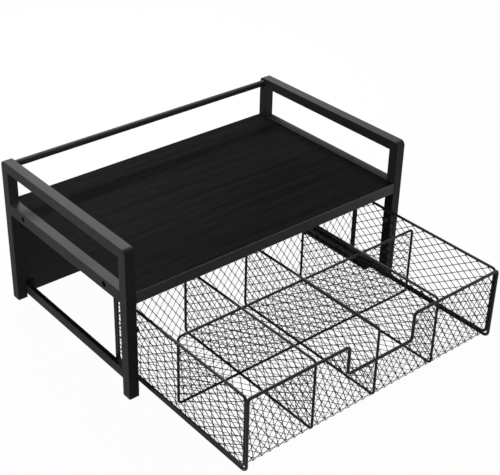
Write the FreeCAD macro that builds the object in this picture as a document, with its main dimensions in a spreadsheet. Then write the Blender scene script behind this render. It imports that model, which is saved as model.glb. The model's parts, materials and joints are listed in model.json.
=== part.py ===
import FreeCAD, Part
import Sketcher
import math
import os

# Tea bag drawer box: a square tube frame with a shelf board and a back panel, and a mesh
# drawer with a grid of compartments that slides out at the front.
# X to the right, -Y to the front, Z up. Origin: centre of the frame's footprint on the table.
# The drawer is modelled pulled out, where only its rear end is still on the runners.

Vec = FreeCAD.Vector

SIZES = {
    # frame
    "frameWidth": 400.0,
    "frameDepth": 248.0,
    "frameHeight": 187.0,
    "tubeSize": 12.5,
    "tubeWall": 1.0,
    "tubeEdge": 0.6,
    "bendRadius": 6.0,
    "plugHead": 1.5,
    "plugStem": 8.0,
    "plugPlay": 0.15,
    "railHeight": 14.0,
    "railTop": 133.7,
    "shelfTop": 133.3,
    "shelfThickness": 14.0,
    "shelfEdge": 0.7,
    "rodDiameter": 8.0,
    "rodHeight": 179.7,
    "rodInset": 6.0,
    "panelThickness": 5.0,
    "panelBottom": 1.5,
    # drawer runners
    "sheetThickness": 1.2,
    "runnerBottom": 4.7,
    "runnerTop": 16.4,
    "flangeWidth": 13.5,
    "runnerFront": 2.0,
    "runnerBack": 8.0,
    "flangeFront": 22.0,
    "glideWidth": 8.3,
    "glideThickness": 3.3,
    "keeperFront": 16.0,
    "keeperLength": 24.0,
    "keeperBottom": 17.0,
    "keeperTop": 18.0,
    "keeperReach": 8.0,
    "bumperDiameter": 7.0,
    "bumperLength": 5.0,
    "bumperHeight": 82.5,
    "bumperStem": 4.0,
    "bumperStemLength": 4.0,
    # fasteners
    "shelfScrewSpan": 166.0,
    "shelfScrewDrop": 6.0,
    "shelfScrewShank": 4.0,
    "shelfScrewHead": 6.0,
    "shelfScrewHeadHeight": 2.4,
    "shelfScrewLength": 18.0,
    "accessHole": 6.6,
    "panelScrewShank": 3.0,
    "panelScrewHead": 6.4,
    "panelScrewLength": 7.5,
    "screwPlay": 0.05,
    "tabWidth": 14.0,
    "tabHeight": 12.0,
    "tabThickness": 1.5,
    "tabLow": 10.5,
    "tabHigh": 100.0,
    # drawer
    "hoopWire": 3.6,
    "sideWire": 3.2,
    "thinWire": 3.0,
    "lowBend": 6.0,
    "rimBend": 3.6,
    "thinBend": 4.5,
    "drawerPlane": 179.2,
    "drawerFront": -292.3,
    "drawerBack": -70.9,
    "rimHeight": 100.56,
    "legHeight": 11.2,
    "notchHalf": 47.0,
    "notchFloor": 66.0,
    "notchBend": 4.5,
    "meshThickness": 1.5,
    "meshStrand": 1.1,
    "meshLong": 16.15,
    "meshShort": 10.7,
    "meshBorder": 0.8,
    "meshFloor": 8.0,
    "foldLeg": 6.4,
    "dividerPitch": 88.5,
    "dividerTop": 99.1,
    "dividerSet": 2.1,
    "crossPlace": -170.8,
    "crossHalf": 172.0,
    "crossShift": 2.2,
}

SIDES = {"left": -1, "right": 1}

doc = FreeCAD.newDocument("TeaBagDrawerBox")
sheet = doc.addObject("Spreadsheet::Sheet", "Sizes")
for row, (alias, value) in enumerate(SIZES.items(), start=1):
    sheet.set(f"A{row}", alias)
    sheet.set(f"B{row}", str(value))
    sheet.setAlias(f"B{row}", alias)
doc.recompute()

nodes = []


def size(alias):
    return float(getattr(sheet, alias))


def worth(expression):
    """The number that an expression on the sheet gives."""
    found = sheet.evalExpression(expression)
    return float(getattr(found, "Value", found))


def keep(piece, label):
    piece.Label = label
    nodes.append(piece)
    return piece


# ---- helpers for PartDesign bodies ----

def new_body(label):
    body = doc.addObject("PartDesign::Body", label)
    return keep(body, label)


def new_sketch(body, name, role, offset="0"):
    """A sketch on one of the body's own origin planes, moved along the plane's normal."""
    plane = next(f for f in body.Origin.OriginFeatures if f.Role == role)
    sketch = body.newObject("Sketcher::SketchObject", name)
    sketch.AttachmentSupport = [(plane, "")]
    sketch.MapMode = "FlatFace"
    sketch.setExpression("AttachmentOffset.Base.z", f"({offset}) * 1 mm")
    return sketch


def bind(sketch, constraint, expression):
    index = sketch.addConstraint(constraint)
    sketch.setExpression(f"Constraints[{index}]", f"({expression}) * 1 mm")


def fix_point(sketch, geometry, end, u, v):
    """Hold one point of the sketch at the place that two expressions give."""
    bind(sketch, Sketcher.Constraint("DistanceX", -1, 1, geometry, end, worth(u)), u)
    bind(sketch, Sketcher.Constraint("DistanceY", -1, 1, geometry, end, worth(v)), v)


def outline(sketch, corners):
    """A closed outline of straight lines, each corner held by a pair of expressions."""
    places = [Vec(worth(u), worth(v), 0) for u, v in corners]
    lines = []
    for i, start in enumerate(places):
        end = places[(i + 1) % len(places)]
        lines.append(sketch.addGeometry(Part.LineSegment(start, end)))
    for i, line in enumerate(lines):
        following = lines[(i + 1) % len(lines)]
        sketch.addConstraint(Sketcher.Constraint("Coincident", line, 2, following, 1))
    for line, (u, v) in zip(lines, corners):
        fix_point(sketch, line, 1, u, v)


def rectangle(sketch, low_u, low_v, high_u, high_v):
    outline(sketch, [(low_u, low_v), (high_u, low_v), (high_u, high_v), (low_u, high_v)])


def circle(sketch, u, v, diameter):
    centre = Vec(worth(u), worth(v), 0)
    ring = sketch.addGeometry(Part.Circle(centre, Vec(0, 0, 1), worth(diameter) / 2))
    fix_point(sketch, ring, 3, u, v)
    bind(sketch, Sketcher.Constraint("Diameter", ring, worth(diameter)), diameter)


def rounded_rectangle(sketch, low_u, low_v, high_u, high_v, low_radius, high_radius):
    """Four lines and four tangent arcs; the first line runs along the low_v side."""
    u0, v0, u1, v1 = (worth(e) for e in (low_u, low_v, high_u, high_v))
    low = worth(low_radius)
    high = worth(high_radius)
    runs = [
        ((u0 + low, v0), (u1 - low, v0)),
        ((u1, v0 + low), (u1, v1 - high)),
        ((u1 - high, v1), (u0 + high, v1)),
        ((u0, v1 - high), (u0, v0 + low)),
    ]
    centres = [(u1 - low, v0 + low), (u1 - high, v1 - high), (u0 + high, v1 - high),
               (u0 + low, v0 + low)]
    radii = [low, high, high, low]
    lines = []
    arcs = []
    for i, (start, end) in enumerate(runs):
        lines.append(sketch.addGeometry(Part.LineSegment(Vec(*start, 0), Vec(*end, 0))))
        bend = Part.Circle(Vec(*centres[i], 0), Vec(0, 0, 1), radii[i])
        turn = -math.pi / 2 + i * math.pi / 2
        arcs.append(sketch.addGeometry(Part.ArcOfCircle(bend, turn, turn + math.pi / 2)))
    for i in range(4):
        following = lines[(i + 1) % 4]
        sketch.addConstraint(Sketcher.Constraint("Tangent", lines[i], 2, arcs[i], 1))
        sketch.addConstraint(Sketcher.Constraint("Tangent", arcs[i], 2, following, 1))
    for i in (0, 2):
        sketch.addConstraint(Sketcher.Constraint("Horizontal", lines[i]))
        sketch.addConstraint(Sketcher.Constraint("Vertical", lines[i + 1]))
    sketch.addConstraint(Sketcher.Constraint("Equal", arcs[0], arcs[3]))
    sketch.addConstraint(Sketcher.Constraint("Equal", arcs[1], arcs[2]))
    bind(sketch, Sketcher.Constraint("Radius", arcs[0], low), low_radius)
    bind(sketch, Sketcher.Constraint("Radius", arcs[1], high), high_radius)
    bind(sketch, Sketcher.Constraint("DistanceY", -1, 1, lines[0], 1, v0), low_v)
    bind(sketch, Sketcher.Constraint("DistanceX", -1, 1, lines[1], 1, u1), high_u)
    bind(sketch, Sketcher.Constraint("DistanceY", -1, 1, lines[2], 1, v1), high_v)
    bind(sketch, Sketcher.Constraint("DistanceX", -1, 1, lines[3], 1, u0), low_u)


def pad(body, name, sketch, length):
    feature = body.newObject("PartDesign::Pad", name)
    feature.Profile = sketch
    feature.setExpression("Length", f"({length}) * 1 mm")
    doc.recompute()
    return feature


def pocket(body, name, sketch, depth, reverse=False):
    """Cut a sketch into the body, and stop if it cuts nothing."""
    before = body.Shape.Volume
    feature = body.newObject("PartDesign::Pocket", name)
    feature.Profile = sketch
    feature.Reversed = reverse
    feature.setExpression("Length", f"({depth}) * 1 mm")
    doc.recompute()
    if body.Shape.Volume >= before - 1e-6:
        raise RuntimeError(f"{body.Label}: {name} cuts nothing")
    return feature


def edge_names(shape, wanted):
    return [f"Edge{i}" for i, edge in enumerate(shape.Edges, start=1) if wanted(edge)]


def face_names(shape, wanted):
    return [f"Face{i}" for i, face in enumerate(shape.Faces, start=1) if wanted(face)]


def dress(body, kind, name, base, picks, prop, expression):
    """A fillet, chamfer or thickness on the named edges or faces of a feature."""
    feature = body.newObject(f"PartDesign::{kind}", name)
    feature.Base = (base, picks)
    feature.setExpression(prop, f"({expression}) * 1 mm")
    return feature


def hollow(body, base, opened):
    """Turn a solid bar into a tube, open at the faces that are asked for."""
    shell = dress(body, "Thickness", "Wall", base, face_names(base.Shape, opened), "Value",
                  "Sizes.tubeWall")
    shell.Reversed = True
    shell.Join = 1
    doc.recompute()
    return shell


def near(a, b):
    return abs(a - b) < 1e-4


# ---- frame ----

def inner_x(side):
    """Expression for the x of a post's inner face."""
    return f"{side} * (Sizes.frameWidth / 2 - Sizes.tubeSize)"


def low_x(side):
    """Expression for the lower x of a side's posts."""
    return "-Sizes.frameWidth / 2" if side < 0 else "Sizes.frameWidth / 2 - Sizes.tubeSize"


def side_frame(name, side):
    """One square tube bent over: front post, top rail and rear post."""
    body = new_body(f"side_frame_{name}")
    sketch = new_sketch(body, "TubeOutline", "YZ_Plane", low_x(side))
    front = "-Sizes.frameDepth / 2"
    back = "Sizes.frameDepth / 2"
    top = "Sizes.frameHeight"
    inner_front = f"{front} + Sizes.tubeSize"
    inner_back = f"{back} - Sizes.tubeSize"
    inner_top = f"{top} - Sizes.tubeSize"
    foot = "Sizes.plugHead"
    outline(sketch, [
        (front, foot), (inner_front, foot), (inner_front, inner_top), (inner_back, inner_top),
        (inner_back, foot), (back, foot), (back, top), (front, top),
    ])
    bar = pad(body, "Bar", sketch, "Sizes.tubeSize")
    half_depth = size("frameDepth") / 2

    def outer_corner(edge):
        centre = edge.CenterOfMass
        return near(centre.z, size("frameHeight")) and near(abs(centre.y), half_depth)

    bends = dress(body, "Fillet", "Bends", bar, edge_names(bar.Shape, outer_corner),
                  "Radius", "Sizes.bendRadius")
    doc.recompute()
    shell = hollow(body, bends, lambda f: near(f.BoundBox.ZMax, size("plugHead")))
    faces_x = (worth(low_x(side)), worth(low_x(side)) + size("tubeSize"))

    def long_edge(edge):
        box = edge.BoundBox
        flat = near(box.XMin, box.XMax) and any(near(box.XMin, x) for x in faces_x)
        return flat and box.ZMax > size("plugHead") + 1

    dress(body, "Fillet", "TubeEdges", shell, edge_names(shell.Shape, long_edge), "Radius",
          "Sizes.tubeEdge")
    doc.recompute()
    holes = new_sketch(body, "BumperHole", "YZ_Plane", inner_x(side))
    circle(holes, "-Sizes.frameDepth / 2 + Sizes.tubeSize / 2", "Sizes.bumperHeight",
           "Sizes.bumperStem + 2 * Sizes.screwPlay")
    pocket(body, "BumperSocket", holes, "Sizes.tubeWall * 2", reverse=side > 0)


SCREW_LEVEL = "Sizes.shelfTop - Sizes.shelfScrewDrop"


def shelf_rail(name, side):
    """Tube between the posts, level with the shelf, with two screws into the board."""
    body = new_body(f"shelf_rail_{name}")
    sketch = new_sketch(body, "RailOutline", "XZ_Plane",
                        "-(Sizes.frameDepth / 2 - Sizes.tubeSize)")
    rectangle(sketch, low_x(side), "Sizes.railTop - Sizes.railHeight",
              f"{low_x(side)} + Sizes.tubeSize", "Sizes.railTop")
    bar = pad(body, "Bar", sketch, "Sizes.frameDepth - 2 * Sizes.tubeSize")
    end = size("frameDepth") / 2 - size("tubeSize")
    shell = hollow(body, bar, lambda f: near(abs(f.CenterOfMass.y), end))
    low = worth(low_x(side))
    corners_x = (low, low + size("tubeSize"))
    corners_z = (size("railTop") - size("railHeight"), size("railTop"))

    def long_edge(edge):
        centre = edge.CenterOfMass
        on_corner = any(near(centre.x, x) for x in corners_x)
        on_corner = on_corner and any(near(centre.z, z) for z in corners_z)
        return on_corner and edge.Length > size("frameDepth") / 2

    dress(body, "Fillet", "TubeEdges", shell, edge_names(shell.Shape, long_edge), "Radius",
          "Sizes.tubeEdge")
    doc.recompute()
    steps = (
        ("Access", "Sizes.accessHole", "Sizes.tubeWall * 2"),
        ("ScrewHole", "Sizes.shelfScrewShank + 2 * Sizes.screwPlay", "Sizes.tubeSize"),
    )
    for step, diameter, depth in steps:
        holes = new_sketch(body, f"{step}Circles", "YZ_Plane",
                           f"{side} * Sizes.frameWidth / 2")
        for end_sign in (-1, 1):
            circle(holes, f"{end_sign} * Sizes.shelfScrewSpan / 2", SCREW_LEVEL, diameter)
        pocket(body, step, holes, depth, reverse=side < 0)


def shelf_board():
    body = new_body("shelf_board")
    sketch = new_sketch(body, "BoardOutline", "XY_Plane",
                        "Sizes.shelfTop - Sizes.shelfThickness")
    rectangle(sketch, inner_x(-1), "-Sizes.frameDepth / 2", inner_x(1),
              "Sizes.frameDepth / 2")
    board = pad(body, "Board", sketch, "Sizes.shelfThickness")

    def long_edge(edge):
        return near(abs(edge.CenterOfMass.y), size("frameDepth") / 2) and edge.Length > 100

    dress(body, "Chamfer", "EdgeBand", board, edge_names(board.Shape, long_edge), "Size",
          "Sizes.shelfEdge")
    doc.recompute()
    for name, side in SIDES.items():
        holes = new_sketch(body, f"PilotCircles{name}", "YZ_Plane", inner_x(side))
        for end_sign in (-1, 1):
            circle(holes, f"{end_sign} * Sizes.shelfScrewSpan / 2", SCREW_LEVEL,
                   "Sizes.shelfScrewShank + 2 * Sizes.screwPlay")
        pocket(body, f"Pilot{name}", holes, "Sizes.shelfScrewLength", reverse=side < 0)


def back_panel():
    """Thin board between the rear posts, closed down to just above the table."""
    body = new_body("back_panel")
    sketch = new_sketch(body, "PanelOutline", "XZ_Plane", "-Sizes.frameDepth / 2")
    rectangle(sketch, inner_x(-1), "Sizes.panelBottom", inner_x(1),
              "Sizes.shelfTop - Sizes.shelfThickness")
    pad(body, "Panel", sketch, "Sizes.panelThickness")
    holes = new_sketch(body, "ScrewCircles", "XZ_Plane", "-Sizes.frameDepth / 2")
    for u, v in tab_centres():
        circle(holes, u, v, "Sizes.panelScrewShank + 2 * Sizes.screwPlay")
    pocket(body, "ScrewHoles", holes, "Sizes.panelThickness", reverse=True)
    last = body.Tip

    def hole_mouth(edge):
        at_back = near(edge.CenterOfMass.y, size("frameDepth") / 2)
        return at_back and hasattr(edge.Curve, "Radius")

    countersink = "(Sizes.panelScrewHead - Sizes.panelScrewShank) / 2"
    dress(body, "Chamfer", "Countersinks", last, edge_names(last.Shape, hole_mouth), "Size",
          countersink)
    doc.recompute()


def tab_centres():
    """Places of the four tabs behind the panel's corners, as pairs of expressions."""
    places = []
    for side in SIDES.values():
        for level in ("Sizes.tabLow", "Sizes.tabHigh"):
            u = f"{side} * (Sizes.frameWidth / 2 - Sizes.tubeSize - Sizes.tabWidth / 2)"
            places.append((u, level))
    return places


def rear_top_rod():
    rod = keep(doc.addObject("Part::Cylinder", "rear_top_rod"), "rear_top_rod")
    rod.setExpression("Radius", "Sizes.rodDiameter / 2 * 1 mm")
    rod.setExpression("Height", "(Sizes.frameWidth - 2 * Sizes.tubeSize) * 1 mm")
    rod.Placement = FreeCAD.Placement(Vec(), FreeCAD.Rotation(Vec(0, 1, 0), 90))
    rod.setExpression("Placement.Base.x", f"({inner_x(-1)}) * 1 mm")
    rod.setExpression("Placement.Base.y", "(Sizes.frameDepth / 2 - Sizes.rodInset) * 1 mm")
    rod.setExpression("Placement.Base.z", "Sizes.rodHeight * 1 mm")


# ---- runners ----

def runner(name, side):
    """Sheet angle along the posts' inner faces: a web, and a flange that carries the drawer.
    The flange stops short of the front posts."""
    body = new_body(f"drawer_runner_{name}")
    rear = "-(Sizes.frameDepth / 2 - Sizes.runnerBack)"
    sketch = new_sketch(body, "AngleOutline", "XZ_Plane", rear)
    outside = inner_x(side)
    web = f"{outside} - {side} * Sizes.sheetThickness"
    tip = f"{outside} - {side} * Sizes.flangeWidth"
    shelf = "Sizes.runnerBottom + Sizes.sheetThickness"
    outline(sketch, [
        (outside, "Sizes.runnerBottom"), (tip, "Sizes.runnerBottom"), (tip, shelf),
        (web, shelf), (web, "Sizes.runnerTop"), (outside, "Sizes.runnerTop"),
    ])
    pad(body, "Angle", sketch, "Sizes.frameDepth - Sizes.runnerBack - Sizes.flangeFront")
    sketch = new_sketch(body, "WebOutline", "XZ_Plane", rear)
    outline(sketch, [
        (outside, "Sizes.runnerBottom"), (web, "Sizes.runnerBottom"),
        (web, "Sizes.runnerTop"), (outside, "Sizes.runnerTop"),
    ])
    pad(body, "Web", sketch, "Sizes.frameDepth - Sizes.runnerBack - Sizes.runnerFront")


def glide_strip(name, side):
    """Plastic strip on the runner's flange, under the drawer's legs."""
    strip = keep(doc.addObject("Part::Box", f"glide_strip_{name}"), f"glide_strip_{name}")
    strip.setExpression("Length", "Sizes.glideWidth * 1 mm")
    strip.setExpression("Width", "(Sizes.frameDepth - Sizes.flangeFront - Sizes.runnerBack) * 1 mm")
    strip.setExpression("Height", "Sizes.glideThickness * 1 mm")
    web = f"{inner_x(side)} - {side} * Sizes.sheetThickness"
    low = web if side < 0 else f"{web} - Sizes.glideWidth"
    strip.setExpression("Placement.Base.x", f"({low}) * 1 mm")
    strip.setExpression("Placement.Base.y", "(-Sizes.frameDepth / 2 + Sizes.flangeFront) * 1 mm")
    strip.setExpression("Placement.Base.z",
                        "(Sizes.runnerBottom + Sizes.sheetThickness) * 1 mm")


def keeper(name, side):
    """Clip on the web that reaches over the drawer's leg, so the drawer can't tip or fall out."""
    body = new_body(f"drawer_keeper_{name}")
    front = "-Sizes.frameDepth / 2 + Sizes.keeperFront"
    sketch = new_sketch(body, "ClipOutline", "XZ_Plane", f"-({front} + Sizes.keeperLength)")
    web = f"{inner_x(side)} - {side} * Sizes.sheetThickness"
    leg = f"{web} - {side} * (Sizes.keeperTop - Sizes.keeperBottom)"
    tip = f"{web} - {side} * Sizes.keeperReach"
    foot = "Sizes.runnerBottom + Sizes.sheetThickness + Sizes.glideThickness"
    outline(sketch, [
        (web, foot), (leg, foot), (leg, "Sizes.keeperBottom"), (tip, "Sizes.keeperBottom"),
        (tip, "Sizes.keeperTop"), (web, "Sizes.keeperTop"),
    ])
    pad(body, "Clip", sketch, "Sizes.keeperLength")


# ---- groups of small parts: one node each, every part its own solid ----

def group(label, solids):
    piece = keep(doc.addObject("Part::Feature", label), label)
    piece.Shape = Part.makeCompound(solids)
    return piece


def cylinder(radius, length, start, direction):
    return Part.makeCylinder(radius, length, start, direction)


def shelf_screws():
    """Pan head screws through the rail's inner wall into the board's edge."""
    level = worth(SCREW_LEVEL)
    solids = []
    for side in SIDES.values():
        seat = worth(inner_x(side)) + side * size("tubeWall")
        inward = Vec(-side, 0, 0)
        for end_sign in (-1, 1):
            place = Vec(seat, end_sign * size("shelfScrewSpan") / 2, level)
            shank = cylinder(size("shelfScrewShank") / 2, size("shelfScrewLength"), place,
                             inward)
            head = cylinder(size("shelfScrewHead") / 2, size("shelfScrewHeadHeight"), place,
                            inward * -1)
            solids.append(shank.fuse(head.cut(cross_slot(place, side))).removeSplitter())
    group("shelf_screws", solids)


def cross_slot(seat, side):
    """Two crossed slots in the outer half of a shelf screw's head."""
    high = size("shelfScrewHeadHeight")
    arm = size("shelfScrewHead") * 0.55
    blade = size("shelfScrewHead") * 0.14
    mid = seat + Vec(side * high * 0.75, 0, 0)
    flat = Part.makeBox(high / 2, arm, blade, mid - Vec(high / 4, arm / 2, blade / 2))
    upright = Part.makeBox(high / 2, blade, arm, mid - Vec(high / 4, blade / 2, arm / 2))
    return flat.fuse(upright)


def panel_screws():
    """Countersunk screws from behind the panel into the tabs."""
    back = size("frameDepth") / 2
    sink = (size("panelScrewHead") - size("panelScrewShank")) / 2
    solids = []
    for u, v in tab_centres():
        place = Vec(worth(u), back, worth(v))
        shank = cylinder(size("panelScrewShank") / 2, size("panelScrewLength"), place,
                         Vec(0, -1, 0))
        head = Part.makeCone(size("panelScrewHead") / 2, size("panelScrewShank") / 2, sink,
                             place, Vec(0, -1, 0))
        solids.append(shank.fuse(head).removeSplitter())
    group("panel_screws", solids)


def panel_tabs():
    """Tabs on the rear posts' inner faces, in front of the panel."""
    front = size("frameDepth") / 2 - size("panelThickness") - size("tabThickness")
    solids = []
    for u, v in tab_centres():
        corner = Vec(worth(u) - size("tabWidth") / 2, front, worth(v) - size("tabHeight") / 2)
        plate = Part.makeBox(size("tabWidth"), size("tabThickness"), size("tabHeight"), corner)
        hole = cylinder(size("panelScrewShank") / 2 + size("screwPlay"),
                        2 * size("tabThickness"),
                        Vec(worth(u), front - size("tabThickness") / 2, worth(v)),
                        Vec(0, 1, 0))
        solids.append(plate.cut(hole))
    group("panel_tabs", solids)


def foot_plugs():
    """Plastic plugs in the posts' lower ends."""
    tube = size("tubeSize")
    stem = tube - 2 * size("tubeWall") - 2 * size("plugPlay")
    solids = []
    for side in SIDES.values():
        for end_sign in (-1, 1):
            x = side * (size("frameWidth") - tube) / 2
            y = end_sign * (size("frameDepth") - tube) / 2
            head = Part.makeBox(tube, tube, size("plugHead"), Vec(x - tube / 2, y - tube / 2, 0))
            post = Part.makeBox(stem, stem, size("plugStem"),
                                Vec(x - stem / 2, y - stem / 2, size("plugHead")))
            upright = [e for e in head.Edges if near(e.BoundBox.ZLength, size("plugHead"))]
            solids.append(head.makeFillet(size("tubeEdge"), upright).fuse(post))
    group("foot_plugs", solids)


def side_bumpers():
    """Buttons on the front posts that guide the drawer's sides."""
    solids = []
    for side in SIDES.values():
        place = Vec(worth(inner_x(side)), -(size("frameDepth") - size("tubeSize")) / 2,
                    size("bumperHeight"))
        button = cylinder(size("bumperDiameter") / 2, size("bumperLength"), place,
                          Vec(-side, 0, 0))
        rim = [e for e in button.Edges
               if near(abs(e.CenterOfMass.x - place.x), size("bumperLength"))]
        stem = cylinder(size("bumperStem") / 2, size("bumperStemLength"), place,
                        Vec(side, 0, 0))
        solids.append(button.makeFillet(1.0, rim).fuse(stem))
    group("side_bumpers", solids)


# ---- drawer wires ----

def wire_loop(label, role, plane, low_u, low_v, high_u, high_v, gauge, low_bend, high_bend):
    """A closed loop of round wire with bent corners, in one plane."""
    body = new_body(label)
    path = new_sketch(body, "Path", role, plane)
    rounded_rectangle(path, low_u, low_v, high_u, high_v, low_bend, high_bend)
    if role == "YZ_Plane":
        section = new_sketch(body, "Section", "XZ_Plane", f"-({low_u} + {low_bend})")
        circle(section, plane, low_v, gauge)
    else:
        section = new_sketch(body, "Section", "YZ_Plane", f"{low_u} + {low_bend}")
        circle(section, f"-({plane})", low_v, gauge)
    pipe = body.newObject("PartDesign::AdditivePipe", "Wire")
    pipe.Profile = section
    pipe.Spine = path
    doc.recompute()
    return body


def bent_path(points, radii):
    """A wire path through points, with an arc of the given radius at each inner point."""
    edges = []
    start = points[0]
    for i in range(1, len(points) - 1):
        before = (points[i - 1] - points[i]).normalize()
        after = (points[i + 1] - points[i]).normalize()
        half = before.getAngle(after) / 2
        reach = radii[i - 1] / math.tan(half)
        arc_start = points[i] + before * reach
        arc_end = points[i] + after * reach
        centre = points[i] + (before + after).normalize() * (radii[i - 1] / math.sin(half))
        middle = centre + (points[i] - centre).normalize() * radii[i - 1]
        edges.append(Part.LineSegment(start, arc_start).toShape())
        edges.append(Part.Arc(arc_start, middle, arc_end).toShape())
        start = arc_end
    edges.append(Part.LineSegment(start, points[-1]).toShape())
    return Part.Wire(edges)


def bent_wire(label, points, radii, gauge):
    """Round wire along a path that leaves its plane, so no sketch can hold it."""
    path = bent_path(points, radii)
    direction = (points[1] - points[0]).normalize()
    ring = Part.Wire(Part.Circle(points[0], direction, gauge / 2).toShape())
    piece = keep(doc.addObject("Part::Feature", label), label)
    piece.Shape = path.makePipeShell([ring], True, True)
    return piece


def hoops():
    """The outer hoop, butt-welded halfway along its legs: a front and a rear half."""
    x = size("drawerPlane")
    front = size("drawerFront")
    back = size("drawerBack")
    leg = size("legHeight")
    rim = size("rimHeight")
    middle = (front + back) / 2
    notch = size("notchHalf")
    floor = size("notchFloor")
    bend = size("lowBend")
    tight = size("rimBend")
    notch_bend = size("notchBend")
    front_points = [
        Vec(-x, middle, leg), Vec(-x, front, leg), Vec(-x, front, rim), Vec(-notch, front, rim),
        Vec(-notch, front, floor), Vec(notch, front, floor), Vec(notch, front, rim),
        Vec(x, front, rim), Vec(x, front, leg), Vec(x, middle, leg),
    ]
    front_bends = [bend, tight] + [notch_bend] * 4 + [tight, bend]
    bent_wire("front_hoop", front_points, front_bends, size("hoopWire"))
    rear_points = [
        Vec(-x, middle, leg), Vec(-x, back, leg), Vec(-x, back, rim), Vec(x, back, rim),
        Vec(x, back, leg), Vec(x, middle, leg),
    ]
    bent_wire("rear_hoop", rear_points, [bend, tight, tight, bend], size("hoopWire"))


NEST = "(Sizes.hoopWire + Sizes.sideWire) / 2"
LOOP_FRONT = f"Sizes.drawerFront + {NEST}"
LOOP_BACK = f"Sizes.drawerBack - {NEST}"
LOOP_LOW = f"Sizes.legHeight + {NEST}"
MESH_FRONT = "Sizes.drawerFront + Sizes.hoopWire / 2"
MESH_BACK = "Sizes.drawerBack - Sizes.hoopWire / 2"
MESH_SIDE = "Sizes.drawerPlane - Sizes.hoopWire / 2"
FLOOR_TOP = "Sizes.meshFloor + Sizes.meshThickness"
CROSS_LOW = f"{FLOOR_TOP} + Sizes.thinWire / 2"
DIVIDER_LOW = f"{CROSS_LOW} + Sizes.dividerSet"
DIVIDER_FRONT = f"{MESH_FRONT} + Sizes.meshThickness + Sizes.thinWire / 2"
DIVIDER_BACK = f"{MESH_BACK} - Sizes.meshThickness - Sizes.thinWire / 2"
CROSS_TOP = "Sizes.dividerTop - Sizes.dividerSet"
CROSS_LEFT = "Sizes.crossShift - Sizes.crossHalf"
CROSS_RIGHT = "Sizes.crossShift + Sizes.crossHalf"
DIVIDERS = {"left": -1, "middle": 0, "right": 1}


def side_wire(name, side):
    wire_loop(f"drawer_side_wire_{name}", "YZ_Plane", f"{side} * Sizes.drawerPlane",
              LOOP_FRONT, LOOP_LOW, LOOP_BACK, "Sizes.rimHeight", "Sizes.sideWire",
              "Sizes.lowBend", "Sizes.rimBend")


def divider_wire(name, place):
    return wire_loop(f"divider_wire_{name}", "YZ_Plane", f"{place} * Sizes.dividerPitch",
                     DIVIDER_FRONT, DIVIDER_LOW, DIVIDER_BACK, "Sizes.dividerTop",
                     "Sizes.thinWire", "Sizes.thinBend", "Sizes.thinBend")


def cross_divider_wire():
    """The loop across the drawer; the dividers' wires are set down into it where they cross."""
    loop = wire_loop("cross_divider_wire_bent", "XZ_Plane", "-Sizes.crossPlace",
                     CROSS_LEFT, CROSS_LOW, CROSS_RIGHT, CROSS_TOP, "Sizes.thinWire",
                     "Sizes.thinBend", "Sizes.thinBend")
    nodes.remove(loop)
    radius = size("thinWire") / 2 + 0.01
    reach = size("thinWire") * 2
    saddles = []
    for place in DIVIDERS.values():
        x = place * size("dividerPitch")
        for level in (worth(DIVIDER_LOW), size("dividerTop")):
            start = Vec(x, size("crossPlace") - reach, level)
            saddles.append(cylinder(radius, 2 * reach, start, Vec(0, 1, 0)))
    tools = doc.addObject("Part::Feature", "CrossingWires")
    tools.Shape = Part.makeCompound(saddles)
    cut = doc.addObject("Part::Cut", "cross_divider_wire")
    cut.Base = loop
    cut.Tool = tools
    keep(cut, "cross_divider_wire")
    doc.recompute()


# ---- drawer mesh ----

def diamond(u, v, half_u, half_v):
    corners = [Vec(u + half_u, v, 0), Vec(u, v + half_v, 0), Vec(u - half_u, v, 0),
               Vec(u, v - half_v, 0)]
    return Part.makePolygon(corners + corners[:1])


def mesh_holes(boxes, centre, pitch_u, pitch_v):
    """Diamond openings of the expanded sheet that lie whole within one of the boxes."""
    half_u = pitch_u / 2
    half_v = pitch_v / 2
    side_distance = half_u * half_v / math.hypot(half_u, half_v)
    share = 1 - size("meshStrand") / (2 * side_distance)
    border = size("meshBorder")
    holes = []
    reach_u = max(abs(b[i] - centre[0]) for b in boxes for i in (0, 2))
    reach_v = max(abs(b[i] - centre[1]) for b in boxes for i in (1, 3))
    count_u = int(reach_u / half_u) + 1
    count_v = int(reach_v / half_v) + 1
    for i in range(-count_u, count_u + 1):
        for j in range(-count_v, count_v + 1):
            if (i + j) % 2:
                continue
            u = centre[0] + i * half_u
            v = centre[1] + j * half_v
            open_u = half_u * share
            open_v = half_v * share
            for low_u, low_v, high_u, high_v in boxes:
                if (u - open_u > low_u + border and u + open_u < high_u - border
                        and v - open_v > low_v + border and v + open_v < high_v - border):
                    holes.append(diamond(u, v, open_u, open_v))
                    break
    return holes


def mesh_sheet(outline_points, boxes, centre, pitch_u, pitch_v):
    """Flat mesh in the XY plane, as thick as the sheet, from an outline and its full areas."""
    rim = [Vec(u, v, 0) for u, v in outline_points]
    wires = [Part.makePolygon(rim + rim[:1])]
    wires += mesh_holes(boxes, centre, pitch_u, pitch_v)
    face = Part.makeFace(wires, "Part::FaceMakerBullseye")
    return face.extrude(Vec(0, 0, size("meshThickness")))


def box_points(low_u, low_v, high_u, high_v):
    return [(low_u, low_v), (high_u, low_v), (high_u, high_v), (low_u, high_v)]


def stand(sheet_solid, role, place):
    """Turn a flat sheet into the plane it belongs in; place is its low face."""
    if role == "XY":
        turn = FreeCAD.Rotation()
        base = Vec(0, 0, place)
    elif role == "XZ":
        turn = FreeCAD.Rotation(Vec(1, 0, 0), 90)
        base = Vec(0, place + size("meshThickness"), 0)
    else:
        turn = FreeCAD.Rotation(Vec(1, 1, 1), 120)
        base = Vec(place, 0, 0)
    moved = sheet_solid.copy()
    moved.Placement = FreeCAD.Placement(base, turn)
    return moved


def mesh_node(label, solids):
    piece = keep(doc.addObject("Part::Feature", label), label)
    piece.Shape = solids[0] if len(solids) == 1 else Part.makeCompound(solids)


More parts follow.
